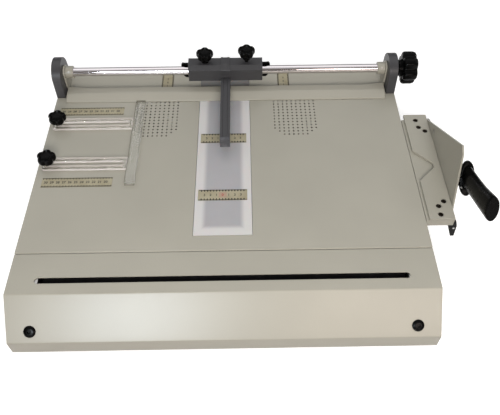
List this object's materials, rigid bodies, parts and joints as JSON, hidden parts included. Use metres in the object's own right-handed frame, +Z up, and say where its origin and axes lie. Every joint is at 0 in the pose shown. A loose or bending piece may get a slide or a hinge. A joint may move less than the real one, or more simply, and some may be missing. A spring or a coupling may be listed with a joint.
{
  "type": "hard-cover case maker",
  "caption": "Desktop case maker: cream sheet-metal table with a lit window, a chrome rail with a sliding centre arm, a clear side gauge, a turn-in slot and a lever corner cutter.",
  "frame": {"origin": "middle of the whole machine's footprint, cutter handle included, at the soles of the feet", "axes": "+X to the right along the table and the rail, +Y from the operator to the back, +Z up"},
  "size_m": [0.716, 0.552, 0.1979],
  "materials": {
    "cream_paint": "satin cream powder coat",
    "grey_paint": "fine dark grey powder coat",
    "chrome": "polished",
    "steel": "brushed",
    "black_plastic": "black, half matt",
    "black_rubber": "matt",
    "clear_acrylic": "clear, polished",
    "opal_acrylic": "opal, satin",
    "scale_tape": "printed tape",
    "circuit_board": "white solder mask",
    "galvanised_steel": "galvanised"
  },
  "bodies": {
    "machine": {"front_cover": "cream_paint", "table_plate": "cream_paint", "side_panel_left": "cream_paint", "side_panel_right": "cream_paint", "rear_panel": "cream_paint", "back_stop": "cream_paint", "end_plate_left": "cream_paint", "end_plate_right": "cream_paint", "rail_collar_left": "cream_paint", "rail_collar_right": "cream_paint", "cutter_bed": "cream_paint", "v_fence_plate": "cream_paint", "end_bracket_left": "grey_paint", "end_bracket_right": "grey_paint", "roller_block_left": "steel", "roller_block_right": "steel", "knife_pivot_bolt": "steel", "front_screw_left": "black_plastic", "front_screw_right": "black_plastic", "power_inlet": "black_plastic", "fan_frame_left": "black_plastic", "fan_frame_right": "black_plastic", "knife_pivot_bracket": "black_plastic", "knife_guide": "black_plastic", "foot_front_left": "black_rubber", "foot_front_right": "black_rubber", "foot_rear_left": "black_rubber", "foot_rear_right": "black_rubber", "light_diffuser": "opal_acrylic", "side_scale_front": "scale_tape", "side_scale_rear": "scale_tape", "window_scale_front": "scale_tape", "window_scale_rear": "scale_tape", "rear_scale_left": "scale_tape", "rear_scale_right": "scale_tape", "lamp_board": "circuit_board", "base_pan": "galvanised_steel", "lamp_tray": "galvanised_steel", "power_supply": "galvanised_steel"},
    "rail": {"rail_shaft": "chrome", "rail_turn_knob": "black_plastic"},
    "carriage": {"carriage_body": "grey_paint", "carriage_end_left": "black_plastic", "carriage_end_right": "black_plastic", "centre_arm": "grey_paint", "arm_strap": "grey_paint"},
    "carriage_knob_left": {"carriage_knob_left": "black_plastic"},
    "carriage_knob_right": {"carriage_knob_right": "black_plastic"},
    "side_gauge": {"side_stop_bar": "clear_acrylic", "gauge_arm_front": "clear_acrylic", "gauge_arm_rear": "clear_acrylic"},
    "gauge_knob_front": {"gauge_knob_front": "black_plastic"},
    "gauge_knob_rear": {"gauge_knob_rear": "black_plastic"},
    "knife": {"knife_plate": "cream_paint", "knife_handle": "black_plastic"},
    "switch_rocker": {"switch_rocker": "black_plastic"},
    "fan_rotor_left": {"fan_rotor_left": "black_plastic"},
    "fan_rotor_right": {"fan_rotor_right": "black_plastic"},
    "turn_in_roller_front": {"turn_in_roller_front": "black_rubber"},
    "turn_in_roller_rear": {"turn_in_roller_rear": "black_rubber"}
  },
  "joints": [
    {"name": "rail_turn", "type": "hinge", "parent": "machine", "child": "rail", "pos_m": [-0.038, 0.234, 0.1294], "axis": [-1, 0, 0], "range_deg": [0, 95]},
    {"name": "carriage_slide", "type": "slide", "parent": "rail", "child": "carriage", "axis": [1, 0, 0], "range_m": [-0.19, 0.19]},
    {"name": "carriage_knob_left_turn", "type": "hinge", "parent": "carriage", "child": "carriage_knob_left", "pos_m": [-0.0753, 0.234, 0.1539], "axis": [0, 0, 1], "continuous": true},
    {"name": "carriage_knob_right_turn", "type": "hinge", "parent": "carriage", "child": "carriage_knob_right", "pos_m": [0.0017, 0.234, 0.1539], "axis": [0, 0, 1], "continuous": true},
    {"name": "side_gauge_slide", "type": "slide", "parent": "machine", "child": "side_gauge", "axis": [-1, 0, 0], "range_m": [0, 0.12]},
    {"name": "gauge_knob_front_turn", "type": "hinge", "parent": "machine", "child": "gauge_knob_front", "pos_m": [-0.3395, 0.028, 0.1003], "axis": [0, 0, 1], "continuous": true},
    {"name": "gauge_knob_rear_turn", "type": "hinge", "parent": "machine", "child": "gauge_knob_rear", "pos_m": [-0.3395, 0.126, 0.1003], "axis": [0, 0, 1], "continuous": true},
    {"name": "knife_lift", "type": "hinge", "parent": "machine", "child": "knife", "pos_m": [0.3296, 0.081, 0.1109], "axis": [-1, 0, 0], "range_deg": [0, 40]},
    {"name": "switch_press", "type": "hinge", "parent": "machine", "child": "switch_rocker", "pos_m": [-0.283, 0.2725, 0.0654], "axis": [-1, 0, 0], "range_deg": [0, 14]},
    {"name": "fan_spin_left", "type": "hinge", "parent": "machine", "child": "fan_rotor_left", "pos_m": [-0.165, 0.146, 0.0819], "axis": [0, 0, 1], "continuous": true},
    {"name": "fan_spin_right", "type": "hinge", "parent": "machine", "child": "fan_rotor_right", "pos_m": [0.089, 0.146, 0.0819], "axis": [0, 0, 1], "continuous": true},
    {"name": "roller_turn_front", "type": "hinge", "parent": "machine", "child": "turn_in_roller_front", "pos_m": [-0.038, -0.2103, 0.0749], "axis": [1, 0, 0], "continuous": true},
    {"name": "roller_turn_rear", "type": "hinge", "parent": "machine", "child": "turn_in_roller_rear", "pos_m": [-0.038, -0.1917, 0.0749], "axis": [1, 0, 0], "continuous": true}
  ],
  "couplings": [
    {"joint": "roller_turn_front", "follows": "roller_turn_rear", "ratio": -1}
  ]
}
